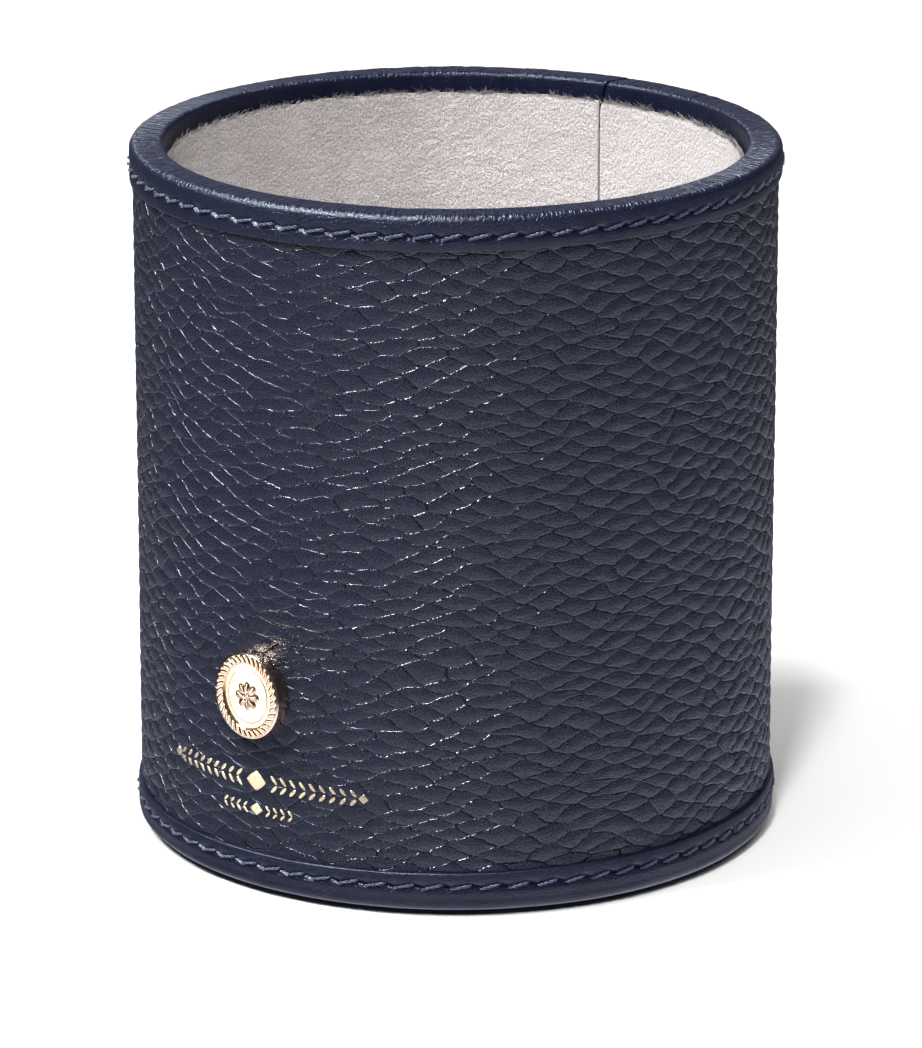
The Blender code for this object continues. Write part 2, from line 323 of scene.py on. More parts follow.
def add(tree, kind, inputs=None, stops=(), **settings):
    """Adds a node with its inputs, its own settings and, on a ramp, its stops: (position, linear colour)."""
    made = tree.nodes.new(kind)
    for key, value in settings.items():
        setattr(made, key, value)
    wire(tree, made, inputs or {})
    for k, (position, shade) in enumerate(stops):
        elements = made.color_ramp.elements
        element = elements[k] if k < len(elements) else elements.new(0.5)
        element.position = position
        element.color = shade
    return made


def finish(name, **sockets):
    """A new material: its tree and its Principled shader with the given sockets set."""
    material = bpy.data.materials.new(name)
    material.use_nodes = True
    tree = material.node_tree
    shader = tree.nodes["Principled BSDF"]
    wire(tree, shader, {socket.replace("_", " "): value for socket, value in sockets.items()})
    return material, tree, shader


def scaled(tone, *factors):
    """A linear colour made lighter or darker, all of it by one factor or red, green and blue by three."""
    return tuple(min(1.0, f * c) for f, c in zip(factors * (3 // len(factors)), tone)) + (1.0,)


def grain_relief(tree, spot, leather):
    """Relief of pebble grain in millimetres, 0 on the pebbles and below 0 in the creases.

    spot is a point on the hide in millimetres. Noise pulls it about, so that creases wander. It is then measured
    along the two diagonals of a lozenge one pebble long and high, so that the cells of a slightly shuffled
    square lattice become lozenges whose creases run on from one pebble to the next. The squared distance to the
    edge gives the pillow, a narrow band along the edge gives the crease, and a smaller set of cells, faded in
    and out by noise, gives the short creases that cross a pebble. Returns (pillow, creases).
    """
    length, height = leather.cell_length / MM, leather.cell_height / MM
    pulls = []
    for size, reach in ((12.0, (4.5, 3.2, 0.0)), (2.4, (1.1, 0.42, 0.0))):
        pull = add(tree, "ShaderNodeTexNoise", {"Vector": spot, "Scale": 1 / size, "Detail": 1.0},
                   noise_dimensions="2D").outputs["Color"]
        pull = add(tree, "ShaderNodeVectorMath", {0: pull, 1: (0.5, 0.5, 0.5)}, operation="SUBTRACT")
        pulls.append(add(tree, "ShaderNodeVectorMath", {0: pull, 1: reach}, operation="MULTIPLY"))
    pulled = spot
    for pull in pulls:
        pulled = add(tree, "ShaderNodeVectorMath", {0: pulled, 1: pull}, operation="ADD")

    along = add(tree, "ShaderNodeVectorMath", {0: pulled, 1: (1 / length, 1 / height, 0.0)},
                operation="DOT_PRODUCT")
    against = add(tree, "ShaderNodeVectorMath", {0: pulled, 1: (-1 / length, 1 / height, 0.0)},
                  operation="DOT_PRODUCT")
    cells = add(tree, "ShaderNodeCombineXYZ", {"X": along.outputs["Value"], "Y": against.outputs["Value"]})
    edge = add(tree, "ShaderNodeTexVoronoi", {"Vector": cells, "Scale": 1.0, "Randomness": 0.42},
               feature="DISTANCE_TO_EDGE", voronoi_dimensions="2D")
    pillow = add(tree, "ShaderNodeMapRange", {0: edge, 1: 0.0, 2: 0.45, 3: 1.0, 4: 0.0})
    pillow = add(tree, "ShaderNodeMath", {0: pillow, 1: 2.0}, operation="POWER")
    pillow = add(tree, "ShaderNodeMath", {0: pillow, 1: -leather.pillow / MM}, operation="MULTIPLY")
    crease = add(tree, "ShaderNodeMapRange", {0: edge, 1: 0.0, 2: 0.035, 3: 1.0, 4: 0.0})
    shoulder = add(tree, "ShaderNodeMapRange", {0: edge, 1: 0.0, 2: 0.13, 3: 1.0, 4: 0.0})
    shoulder = add(tree, "ShaderNodeMath", {0: shoulder, 1: 2.0}, operation="POWER")
    shoulder = add(tree, "ShaderNodeMath", {0: shoulder, 1: 0.6}, operation="MULTIPLY")
    crease = add(tree, "ShaderNodeMath", {0: crease, 1: shoulder}, operation="ADD")
    fade = add(tree, "ShaderNodeTexNoise", {"Vector": spot, "Scale": 0.45, "Detail": 1.0}, noise_dimensions="2D")
    fade = add(tree, "ShaderNodeMapRange", {0: fade, 1: 0.36, 2: 0.56, 3: 0.35, 4: 1.0})
    crease = add(tree, "ShaderNodeMath", {0: crease, 1: fade}, operation="MULTIPLY")
    crease = add(tree, "ShaderNodeMath", {0: crease, 1: -leather.crease / MM}, operation="MULTIPLY")

    tilted = add(tree, "ShaderNodeVectorRotate", {"Vector": pulled, "Angle": math.radians(24)},
                 rotation_type="Z_AXIS")
    small = add(tree, "ShaderNodeVectorMath", {0: tilted, 1: (1 / 3.4, 1 / 1.9, 0.0)},
                operation="MULTIPLY")
    cross = add(tree, "ShaderNodeTexVoronoi", {"Vector": small, "Scale": 1.0, "Randomness": 0.85},
                feature="DISTANCE_TO_EDGE", voronoi_dimensions="2D")
    cross = add(tree, "ShaderNodeMapRange", {0: cross, 1: 0.0, 2: 0.05, 3: -0.024, 4: 0.0},
                interpolation_type="SMOOTHSTEP")
    patch = add(tree, "ShaderNodeTexNoise", {"Vector": spot, "Scale": 0.2, "Detail": 1.0}, noise_dimensions="2D")
    patch = add(tree, "ShaderNodeMapRange", {0: patch, 1: 0.42, 2: 0.6, 3: 0.1, 4: 1.0})
    cross = add(tree, "ShaderNodeMath", {0: cross, 1: patch}, operation="MULTIPLY")
    creases = add(tree, "ShaderNodeMath", {0: crease, 1: cross}, operation="ADD")
    return pillow, creases


def grain_leather(leather):
    """Full-grain calf, drum-dyed navy and lightly finished: soft gloss, sharp creases, fine pores."""
    material, tree, shader = finish("pebbled_calf", Roughness=0.22, IOR=1.48)
    spot = add(tree, "ShaderNodeUVMap", uv_map="UVMap")
    _, creases = grain_relief(tree, spot, leather)
    # On the pebbles: grains 1 mm across, pores 0.3 mm apart and, drawn coarser than real, a fine dust.
    grains = add(tree, "ShaderNodeTexVoronoi", {"Vector": spot, "Scale": 0.95, "Randomness": 1.0},
                 feature="DISTANCE_TO_EDGE", voronoi_dimensions="2D")
    grains = add(tree, "ShaderNodeMapRange", {0: grains, 1: 0.0, 2: 0.2, 3: -0.011, 4: 0.0},
                 interpolation_type="SMOOTHSTEP")
    pores = add(tree, "ShaderNodeTexVoronoi", {"Vector": spot, "Scale": 3.2, "Randomness": 1.0},
                voronoi_dimensions="2D")
    pores = add(tree, "ShaderNodeMapRange", {0: pores, 1: 0.0, 2: 0.5, 3: -0.013, 4: 0.0})
    dust = add(tree, "ShaderNodeTexNoise", {"Vector": spot, "Scale": 5.0, "Detail": 3.0}, noise_dimensions="2D")
    dust = add(tree, "ShaderNodeMapRange", {0: dust, 1: 0.3, 2: 0.7, 3: -0.012, 4: 0.012})
    fine = add(tree, "ShaderNodeMath", {0: pores, 1: dust}, operation="ADD")
    fine = add(tree, "ShaderNodeMath", {0: fine, 1: grains}, operation="ADD")
    total = add(tree, "ShaderNodeMath", {0: creases, 1: fine}, operation="ADD")
    bump = add(tree, "ShaderNodeBump", {"Height": total, "Distance": MM, "Strength": 1.0})
    tone = color(leather.grain_color)
    # Painted shade: the base colour darkens to half its tone down in the creases.
    depth = add(tree, "ShaderNodeMapRange", {0: creases, 1: -0.16, 2: -0.06, 3: 0.0, 4: 1.0})
    shade = add(tree, "ShaderNodeValToRGB", {0: depth}, stops=((0.0, scaled(tone, 0.5)), (0.8, tone)))
    speck = add(tree, "ShaderNodeTexNoise", {"Vector": spot, "Scale": 5.5, "Detail": 1.0}, noise_dimensions="2D")
    speck = add(tree, "ShaderNodeMapRange", {0: speck, 1: 0.3, 2: 0.7, 3: 0.3, 4: 1.9})
    shade = add(tree, "ShaderNodeVectorMath", {0: shade, "Scale": speck}, operation="SCALE")
    rough = add(tree, "ShaderNodeMapRange", {0: creases, 1: -0.08, 2: -0.02, 3: 0.17, 4: 0.25})
    wire(tree, shader, {"Base Color": shade, "Roughness": rough, "Normal": bump})
    return material


def smooth_leather(leather):
    """The same calf, plated smooth and pared thin: satin, hair-fine grain, gathered where it is folded."""
    material, tree, shader = finish("plated_calf", Roughness=0.36, IOR=1.48)
    spot = add(tree, "ShaderNodeUVMap", uv_map="UVMap")
    grain = add(tree, "ShaderNodeTexVoronoi", {"Vector": spot, "Scale": 1.5, "Randomness": 1.0},
                feature="DISTANCE_TO_EDGE", voronoi_dimensions="2D")
    grain = add(tree, "ShaderNodeMapRange", {0: grain, 1: 0.0, 2: 0.09, 3: -0.022, 4: 0.0})
    dust = add(tree, "ShaderNodeTexNoise", {"Vector": spot, "Scale": 4.0, "Detail": 3.0}, noise_dimensions="2D")
    dust = add(tree, "ShaderNodeMapRange", {0: dust, 1: 0.3, 2: 0.7, 3: -0.013, 4: 0.013})
    # Gathers run across the fold, 0.5 mm apart, and lean; they fade out below the stitching.
    lean = add(tree, "ShaderNodeVectorRotate", {"Vector": spot, "Angle": math.radians(-14)},
               rotation_type="Z_AXIS")
    thin = add(tree, "ShaderNodeVectorMath", {0: lean, 1: (2.3, 0.3, 0.0)}, operation="MULTIPLY")
    gather = add(tree, "ShaderNodeTexNoise", {"Vector": thin, "Scale": 1.0, "Detail": 2.0},
                 noise_dimensions="2D")
    gather = add(tree, "ShaderNodeMapRange", {0: gather, 1: 0.32, 2: 0.68, 3: -0.22, 4: 0.22})
    up = add(tree, "ShaderNodeSeparateXYZ", {0: spot}).outputs["Y"]
    fold = add(tree, "ShaderNodeMapRange", {0: up, 1: 5.2, 2: 6.5, 3: 0.05, 4: 1.0},
               interpolation_type="SMOOTHSTEP")
    inside = add(tree, "ShaderNodeMapRange", {0: up, 1: 9.3, 2: 10.2, 3: 1.0, 4: 0.08},
                 interpolation_type="SMOOTHSTEP")
    fold = add(tree, "ShaderNodeMath", {0: fold, 1: inside}, operation="MULTIPLY")
    gather = add(tree, "ShaderNodeMath", {0: gather, 1: fold}, operation="MULTIPLY")
    fine = add(tree, "ShaderNodeMath", {0: grain, 1: dust}, operation="ADD")
    total = add(tree, "ShaderNodeMath", {0: fine, 1: gather}, operation="ADD")
    bump = add(tree, "ShaderNodeBump", {"Height": total, "Distance": MM, "Strength": 1.0})
    # Painted shade: the specular level drops from 0.5 to 0.15 on the fold under the base, where the table it
    # mirrors lies in the pot's shadow; on the leg inside the mouth it also drops to 0.15.
    foot_shade = add(tree, "ShaderNodeMapRange", {0: up, 1: -98.8, 2: -97.5, 3: 0.15, 4: 0.5})
    leg = add(tree, "ShaderNodeMapRange", {0: up, 1: 9.2, 2: 10.8, 3: 1.0, 4: 0.3})
    gloss = add(tree, "ShaderNodeMath", {0: foot_shade, 1: leg}, operation="MULTIPLY")
    tone = color(leather.smooth_color)
    blotch = add(tree, "ShaderNodeTexNoise", {"Vector": spot, "Scale": 0.4, "Detail": 3.0}, noise_dimensions="2D")
    shade = add(tree, "ShaderNodeValToRGB", {0: blotch}, stops=((0.35, scaled(tone, 0.75)), (0.65, tone)))
    wire(tree, shader, {"Base Color": shade, "Specular IOR Level": gloss, "Normal": bump})
    return material


def suede(name, code, seed, cut_edge=None):
    """Split hide with a raised nap: no gloss, soft sheen, cloudy where the nap lies different ways.

    cut_edge is the height in millimetres of an edge where the hide shows its darker raw middle.
    """
    material, tree, shader = finish(
        name, Roughness=0.95, IOR=1.4, Specular_IOR_Level=0.2, Sheen_Weight=0.35, Sheen_Roughness=0.5)
    spot = add(tree, "ShaderNodeUVMap", uv_map="UVMap")
    spot = add(tree, "ShaderNodeVectorMath", {0: spot, 1: (seed, seed, 0.0)}, operation="ADD")
    stretched = add(tree, "ShaderNodeVectorMath", {0: spot, 1: (1.0, 0.75, 0.0)}, operation="MULTIPLY")
    cloud = add(tree, "ShaderNodeTexNoise", {"Vector": spot, "Scale": 0.12, "Detail": 3.0}, noise_dimensions="2D")
    nap = add(tree, "ShaderNodeTexNoise", {"Vector": stretched, "Scale": 2.2, "Detail": 3.0, "Roughness": 0.7},
              noise_dimensions="2D")
    hairs = add(tree, "ShaderNodeTexNoise", {"Vector": spot, "Scale": 4.4, "Detail": 2.0}, noise_dimensions="2D")
    mixed = add(tree, "ShaderNodeMix", {0: 0.86, 2: cloud, 3: hairs})
    tone = color(code)
    shade = add(tree, "ShaderNodeValToRGB", {0: mixed},
                stops=((0.36, scaled(tone, 0.64)), (0.5, tone), (0.64, scaled(tone, 1.28))))
    if cut_edge:
        up = add(tree, "ShaderNodeSeparateXYZ", {0: spot}).outputs["Y"]
        raw = add(tree, "ShaderNodeMapRange", {0: up, 1: cut_edge - 0.35, 2: cut_edge - 0.05, 3: 1.0, 4: 0.42})
        shade = add(tree, "ShaderNodeVectorMath", {0: shade, "Scale": raw}, operation="SCALE")
    height = add(tree, "ShaderNodeMapRange", {0: nap, 1: 0.3, 2: 0.7, 3: -0.08, 4: 0.08})
    bump = add(tree, "ShaderNodeBump", {"Height": height, "Distance": MM, "Strength": 0.9})
    wire(tree, shader, {"Base Color": shade, "Sheen Tint": (1.0, 0.97, 0.95, 1.0), "Normal": bump})
    return material


def thread(code):
    """Bonded polyester thread: filaments twisted into two plies, so light runs along it in short dashes."""
    material, tree, shader = finish("bonded_thread", Roughness=0.34, IOR=1.5, Sheen_Weight=0.25)
    spot = add(tree, "ShaderNodeUVMap", uv_map="UVMap")
    strands = add(tree, "ShaderNodeVectorMath", {0: spot, 1: (1.2, 9.0, 0.0)}, operation="MULTIPLY")
    strands = add(tree, "ShaderNodeTexNoise", {"Vector": strands, "Scale": 1.6, "Detail": 2.0},
                  noise_dimensions="2D")
    tone = color(code)
    # The filaments' tone follows the noise that the bump also draws: half tone in its hollows is painted shade,
    # and 1.7 times the tone on its crests is a painted highlight.
    shade = add(tree, "ShaderNodeValToRGB", {0: strands},
                stops=((0.35, scaled(tone, 0.5)), (0.5, tone), (0.7, scaled(tone, 1.7))))
    bump = add(tree, "ShaderNodeBump", {"Height": strands, "Distance": 0.06 * MM, "Strength": 1.0})
    wire(tree, shader, {"Base Color": shade, "Normal": bump})
    return material


def gold_plate(code):
    """Zinc casting polished and flash-plated in pale gold: mirror-like, with hairlines and a warm dark tarnish."""
    material, tree, shader = finish("pale_gold_plate", Metallic=1.0, Roughness=0.15)
    spot = add(tree, "ShaderNodeTexCoord").outputs["Object"]
    spot = add(tree, "ShaderNodeVectorMath", {0: spot, 1: (1 / MM, 1 / MM, 1 / MM)}, operation="MULTIPLY")
    hair = add(tree, "ShaderNodeVectorMath", {0: spot, 1: (6.0, 6.0, 0.8)}, operation="MULTIPLY")
    hair = add(tree, "ShaderNodeTexNoise", {"Vector": hair, "Scale": 1.0, "Detail": 4.0})
    wave = add(tree, "ShaderNodeTexNoise", {"Vector": spot, "Scale": 0.35, "Detail": 1.0})
    rough = add(tree, "ShaderNodeMapRange", {0: hair, 1: 0.3, 2: 0.8, 3: 0.1, 4: 0.28})
    height = add(tree, "ShaderNodeMath", {0: hair, 1: 0.05}, operation="MULTIPLY")
    height = add(tree, "ShaderNodeMath", {0: wave, 1: height}, operation="ADD")
    bump = add(tree, "ShaderNodeBump", {"Height": height, "Distance": 0.05 * MM, "Strength": 1.0})
    tone = color(code)
    shade = add(tree, "ShaderNodeValToRGB", {0: wave}, stops=((0.3, scaled(tone, 0.9, 0.82, 0.74)), (0.6, tone)))
    wire(tree, shader, {"Base Color": shade, "Roughness": rough, "Normal": bump})
    return material


def gold_foil(code, leather):
    """Hot-stamped foil, a few microns of metal on lacquer: satin gold that breaks where the hide creases."""
    material, tree, shader = finish("gold_foil", Roughness=0.3)
    spot = add(tree, "ShaderNodeUVMap", uv_map="UVMap")
    worn = add(tree, "ShaderNodeTexNoise", {"Vector": spot, "Scale": 3.5, "Detail": 4.0, "Roughness": 0.7},
               noise_dimensions="2D")
    kept = add(tree, "ShaderNodeMapRange", {0: worn, 1: 0.36, 2: 0.44, 3: 0.0, 4: 1.0})
    shade = add(tree, "ShaderNodeValToRGB", {0: kept},
                stops=((0.0, color(leather.grain_color)), (1.0, color(code))))
    bump = add(tree, "ShaderNodeBump", {"Height": worn, "Distance": 0.05 * MM, "Strength": 1.0})
    wire(tree, shader, {"Base Color": shade, "Metallic": kept, "Normal": bump})
    return material


def grey_board():
    """Millboard and card: pressed waste paper, matt, with flecks of fibre."""
    material, tree, shader = finish("grey_board", Roughness=0.92)
    spot = add(tree, "ShaderNodeTexCoord").outputs["Object"]
    fleck = add(tree, "ShaderNodeTexNoise", {"Vector": spot, "Scale": 900.0, "Detail": 5.0})
    shade = add(tree, "ShaderNodeValToRGB", {0: fleck}, stops=((0.35, color("8B8271")), (0.6, color("B4AA97"))))
    bump = add(tree, "ShaderNodeBump", {"Height": fleck, "Distance": 0.05 * MM, "Strength": 1.0})
    wire(tree, shader, {"Base Color": shade, "Normal": bump})
    return material


def sheet_steel():
    """Rolled steel strip: grey metal with the rolls' fine lines."""
    material, tree, shader = finish("sheet_steel", Metallic=1.0, Roughness=0.35)
    spot = add(tree, "ShaderNodeTexCoord").outputs["Object"]
    lines = add(tree, "ShaderNodeVectorMath", {0: spot, 1: (300.0, 300.0, 9000.0)}, operation="MULTIPLY")
    lines = add(tree, "ShaderNodeTexNoise", {"Vector": lines, "Scale": 1.0, "Detail": 3.0})
    shade = add(tree, "ShaderNodeValToRGB", {0: lines}, stops=((0.3, color("8E8F92")), (0.7, color("B9BABD"))))
    rough = add(tree, "ShaderNodeMapRange", {0: lines, 1: 0.3, 2: 0.7, 3: 0.28, 4: 0.45})
    wire(tree, shader, {"Base Color": shade, "Roughness": rough})
    return material


def table_white():
    """Matt white card on the table."""
    return finish("table_white", Base_Color=color("DDDCDB"), Roughness=0.9, Specular_IOR_Level=0.1)[0]


# ---------------------------------------------------------------- leather

def edge_climb(angle, binding):
    """Height of a hand-laid strip's edge above its nominal line: a tilt, and a slow wander, in millimetres."""
    tilt = binding.edge_slope / MM * np.cos(angle - binding.slope_towards)
    return tilt + 0.07 * ripple(angle * 10, 0, 2.1, 1, 5)


def sheet_angles(binding, count, start_lean=0.0):
    """Angles from one end of a strip, round the pot, to its other end; start_lean slants both ends."""
    gap = binding.seam_gap / MM / RIM_OUTER
    share = np.linspace(0, 1, count)[:, None]
    return binding.seam_angle + gap / 2 + share * (2 * math.pi - gap) + start_lean


def wrap_section():
    """Section of the grain leather: thick where it shows, pared under both bindings."""
    pared = RIM_OUTER - 1.1
    low, high = BASE_EDGE - 0.3, HEIGHT - 4.7
    return path(
        (WRAP_INNER, WRAP_BOTTOM),
        ((pared, WRAP_BOTTOM), 2),
        ((pared, low - 0.6), 3),
        ((WRAP_OUTER, low - 0.3), 2),
        ((WRAP_OUTER, high + 0.3), 152),
        ((pared, high + 0.6), 2),
        ((pared, WRAP_TOP), 3),
        ((WRAP_INNER, WRAP_TOP), 2),
        ((WRAP_INNER, WRAP_BOTTOM), 4),
    )


class POT_OT_wrap(bpy.types.Operator):
    """Lays the pebble-grain hide round the tube, with its butt seam at the back"""
    bl_idname = "pot.wrap"
    bl_label = "Grain leather wrap"

    def execute(self, context):
        settings = context.scene.pot
        section = wrap_section()
        angles = sheet_angles(settings.binding, 620)
        shown = section[:, 0] > WRAP_OUTER - 1e-4
        reach = WRAP_OUTER * (angles - angles.min())
        sag = 0.05 * ripple(reach, section[None, :, 1], 17, 23, 11) - 0.05
        from_end = np.minimum(reach, reach.max() - reach)
        rolled = 0.45 * np.exp(-from_end / 0.35)
        radius = section[None, :, 0] + shown * (sag - rolled)
        points = turned(angles, radius, section[None, :, 1])
        up = section[None, :, 1]
        piece = skin("grain_leather_wrap", points, reach, up, grain_leather(settings.leather),
                     closed=(False, True), capped=True)
        front = WRAP_OUTER * ((-math.pi / 2 - angles) % (2 * math.pi))
        front = np.minimum(front, 2 * math.pi * WRAP_OUTER - front)
        # The stamp that laid the foil has pressed the grain half flat there.
        pressed = 0.55 * np.exp(-(front / 17) ** 6) * np.exp(-(((up - 14.5) / 4.2) ** 4))
        share = (shown * (1 - pressed) * (1 - np.exp(-from_end / 1.0))).ravel()
        layer = piece.data.attributes.new("relief_share", "FLOAT", "POINT")
        layer.data.foreach_set("value", share.astype(np.float32))
        emboss(piece, settings.leather)
        place(piece, "grain_leather", "leather_wrap")
        return {"FINISHED"}


def emboss(piece, leather):
    """Presses the pebbles of the grain into the mesh with the relief that the material draws, and applies it."""
    tree = bpy.data.node_groups.new("emboss", "GeometryNodeTree")
    tree.interface.new_socket("Geometry", in_out="INPUT", socket_type="NodeSocketGeometry")
    tree.interface.new_socket("Geometry", in_out="OUTPUT", socket_type="NodeSocketGeometry")
    entry = add(tree, "NodeGroupInput")
    spot = add(tree, "GeometryNodeInputNamedAttribute", {"Name": "UVMap"}, data_type="FLOAT_VECTOR")
    share = add(tree, "GeometryNodeInputNamedAttribute", {"Name": "relief_share"}, data_type="FLOAT")
    pillow, creases = grain_relief(tree, spot, leather)
    part = add(tree, "ShaderNodeMath", {0: creases, 1: 0.35}, operation="MULTIPLY")
    depth = add(tree, "ShaderNodeMath", {0: pillow, 1: part}, operation="ADD")
    depth = add(tree, "ShaderNodeMath", {0: depth, 1: share}, operation="MULTIPLY")
    depth = add(tree, "ShaderNodeMath", {0: depth, 1: MM}, operation="MULTIPLY")
    normal = add(tree, "GeometryNodeInputNormal")
    move = add(tree, "ShaderNodeVectorMath", {0: normal, "Scale": depth}, operation="SCALE")
    moved = add(tree, "GeometryNodeSetPosition", {"Geometry": entry, "Offset": move})
    add(tree, "NodeGroupOutput", {0: moved})
    modifier = piece.modifiers.new("emboss", "NODES")
    modifier.node_group = tree
    with bpy.context.temp_override(object=piece, active_object=piece, selected_objects=[piece]):
        bpy.ops.object.modifier_apply(modifier="emboss")
    bpy.data.node_groups.remove(tree)


def slits(reach, up, count, circle, stitches):
    """Distance to the nearest slit of a row of stitches, whose thread dives at its upper end on the left and
    comes out at its lower end on the right: the length is folded into one pitch, and the point is then measured
    to the slanted line between those two ends."""
    pitch = circle / count
    half = (pitch - stitches.length / MM) / 2
    lift = stitches.rise / MM / 2
    x = (reach + pitch / 2) % pitch - pitch / 2
    share = np.clip((x * half - up * lift) / (half ** 2 + lift ** 2), -1, 1)
    return np.hypot(x - share * half, up + share * lift)


def sewn_relief(reach, up, count, circle, stitches):
    """Hollow pressed into a binding by its stitching: a shallow channel, and a deep slit between stitches."""
    near = slits(reach, up, count, circle, stitches)
    channel = 0.09 * np.exp(-(up / 0.45) ** 2)
    puff = 0.05 * np.exp(-((np.abs(up) - 1.0) / 0.5) ** 2)
    return puff - channel - 0.42 * np.exp(-(near / 0.2) ** 2)


def bend_strip(name, section, angles, reach, up, climb, depth, leather):
    """A binding: its section swept round the pot, pushed out along its own facing by depth and lifted by climb."""
    facings = facing(section)
    radius = section[None, :, 0] + depth * facings[None, :, 0]
    height = np.maximum(section[None, :, 1] + climb + depth * facings[None, :, 1], FOLD_BOTTOM - 0.1)
    material = bpy.data.materials.get("plated_calf") or smooth_leather(leather)
    return skin(name, turned(angles, radius, height), reach, up, material, closed=(False, True), capped=True)


class POT_OT_rim_binding(bpy.types.Operator):
    """Folds the upper strip over the rim, gathered on the fold and pressed in along the stitches"""
    bl_idname = "pot.rim_binding"
    bl_label = "Rim binding"

    def execute(self, context):
        settings = context.scene.pot
        binding, stitches = settings.binding, settings.stitches
        thick = binding.thickness / MM
        leg, crown = RIM_OUTER - thick, HEIGHT - thick
        edge = HEIGHT - binding.rim_depth / MM
        line = edge + stitches.rim_inset / MM
        outer, inner = 1.1, 0.75
        section = path(
            (leg, edge),
            ((RIM_OUTER - 0.18, edge), 3),
            corner((RIM_OUTER - 0.18, edge + 0.18), 0.18, -90, 0, 4),
            ((RIM_OUTER, line - 0.8), 4),
            ((RIM_OUTER, line + 0.8), 14),
            ((RIM_OUTER, HEIGHT - outer), 3),
            corner((RIM_OUTER - outer, HEIGHT - outer), outer, 0, 90, 9),
            ((RIM_INNER + inner, HEIGHT), 7),
            corner((RIM_INNER + inner, HEIGHT - inner), inner, 90, 180, 7),
            ((RIM_INNER, INNER_LEG_END), 7),
            ((RIM_INNER + thick, INNER_LEG_END), 2),
            ((RIM_INNER + thick, crown), 2),
            ((leg, crown), 2),
            ((leg, edge), 3),
        )
        along = run(section)[None, :]
        r, z = section[None, :, 0], section[None, :, 1]
        lean = 0.3 * (np.minimum(along, 12) - 12) / RIM_OUTER
        angles = sheet_angles(binding, 1640, lean)
        reach = RIM_OUTER * (angles - lean - angles[0, 0])
        low = np.clip((HEIGHT - 1.5 - z) / (HEIGHT - 1.5 - edge), 0, 1) * (r > leg - 0.1)
        climb = edge_climb(angles, binding) * low
        leg_end = along[r < RIM_INNER + 0.1][-1]
        shown = np.clip((along - 0.2) / 0.3, 0, 1) * (along < leg_end)
        fold = np.clip((along - 5.0) / 1.5, 0, 1) * np.clip((9.6 - along) / 1.0, 0, 1)
        lumps = 0.045 * ripple(reach, along, 4.5, 2.6, 21) + 0.02 * ripple(reach, along, 1.6, 1.2, 22)
        skew = reach + 0.3 * along
        gathers = fold * (0.06 * ripple(skew, along, 1.1, 5.0, 23) + 0.03 * ripple(skew, along, 0.6, 4.0, 24))
        turn = RIM_OUTER * (angles - binding.seam_angle)
        sewn = sewn_relief(turn, z - line, stitches.rim_count, 2 * math.pi * RIM_OUTER, stitches)
        sewn = sewn * (np.abs(z - line) < 1.7) * (r > leg + 0.1)
        ends = np.minimum(reach, reach.max() - reach)
        rolled = 0.3 * np.exp(-ends / 0.3)
        depth = shown * (lumps + gathers - rolled - 0.03) + sewn
        piece = bend_strip("rim_binding_leather", section, angles, reach, along, climb, depth, settings.leather)
        place(piece, "smooth_leather", "top_binding")
        return {"FINISHED"}


class POT_OT_base_binding(bpy.types.Operator):
    """Folds the lower strip under the base, pressed in along its stitches"""
    bl_idname = "pot.base_binding"
    bl_label = "Base binding"

    def execute(self, context):
        settings = context.scene.pot
        binding, stitches = settings.binding, settings.stitches
        thick = binding.thickness / MM
        leg = RIM_OUTER - thick
        line = BASE_EDGE - stitches.base_inset / MM
        roll = 1.3
        section = path(
            (FOLD_INNER, FOLD_BOTTOM),
            ((RIM_OUTER - roll, FOLD_BOTTOM), 8),
            corner((RIM_OUTER - roll, FOLD_BOTTOM + roll), roll, -90, 0, 8),
            ((RIM_OUTER, line - 0.8), 8),
            ((RIM_OUTER, line + 0.8), 14),
            ((RIM_OUTER, BASE_EDGE - 0.18), 4),
            corner((RIM_OUTER - 0.18, BASE_EDGE - 0.18), 0.18, 0, 90, 4),
            ((leg, BASE_EDGE), 3),
            ((leg, FOLD_BOTTOM + thick), 3),
            ((FOLD_INNER, FOLD_BOTTOM + thick), 2),
        )
        along = run(section)[None, :]
        r, z = section[None, :, 0], section[None, :, 1]
        angles = sheet_angles(binding, 1640)
        reach = RIM_OUTER * (angles - angles[0, 0])
        high = np.clip((z - FOLD_BOTTOM - roll) / (BASE_EDGE - FOLD_BOTTOM - roll), 0, 1) * (r > leg - 0.1)
        climb = edge_climb(angles, binding) * high
        outside = r > leg + 0.1
        lumps = 0.04 * ripple(reach, along, 5.0, 2.6, 31) + 0.02 * ripple(reach, along, 1.5, 1.2, 32)
        sewn = sewn_relief(reach, z - line, stitches.base_count, 2 * math.pi * RIM_OUTER, stitches)
        sewn = sewn * (np.abs(z - line) < 1.7) * outside
        ends = np.minimum(reach, reach.max() - reach)
        depth = outside * (lumps - 0.3 * np.exp(-ends / 0.3) - 0.03) + sewn
        # Its UV height is measured down from the rim, which keeps it clear of the other strip's folds.
        piece = bend_strip(
            "base_binding_leather", section, angles, reach, z - HEIGHT, climb, depth, settings.leather)
        place(piece, "smooth_leather", "bottom_binding")
        return {"FINISHED"}


# ---------------------------------------------------------------- stitching

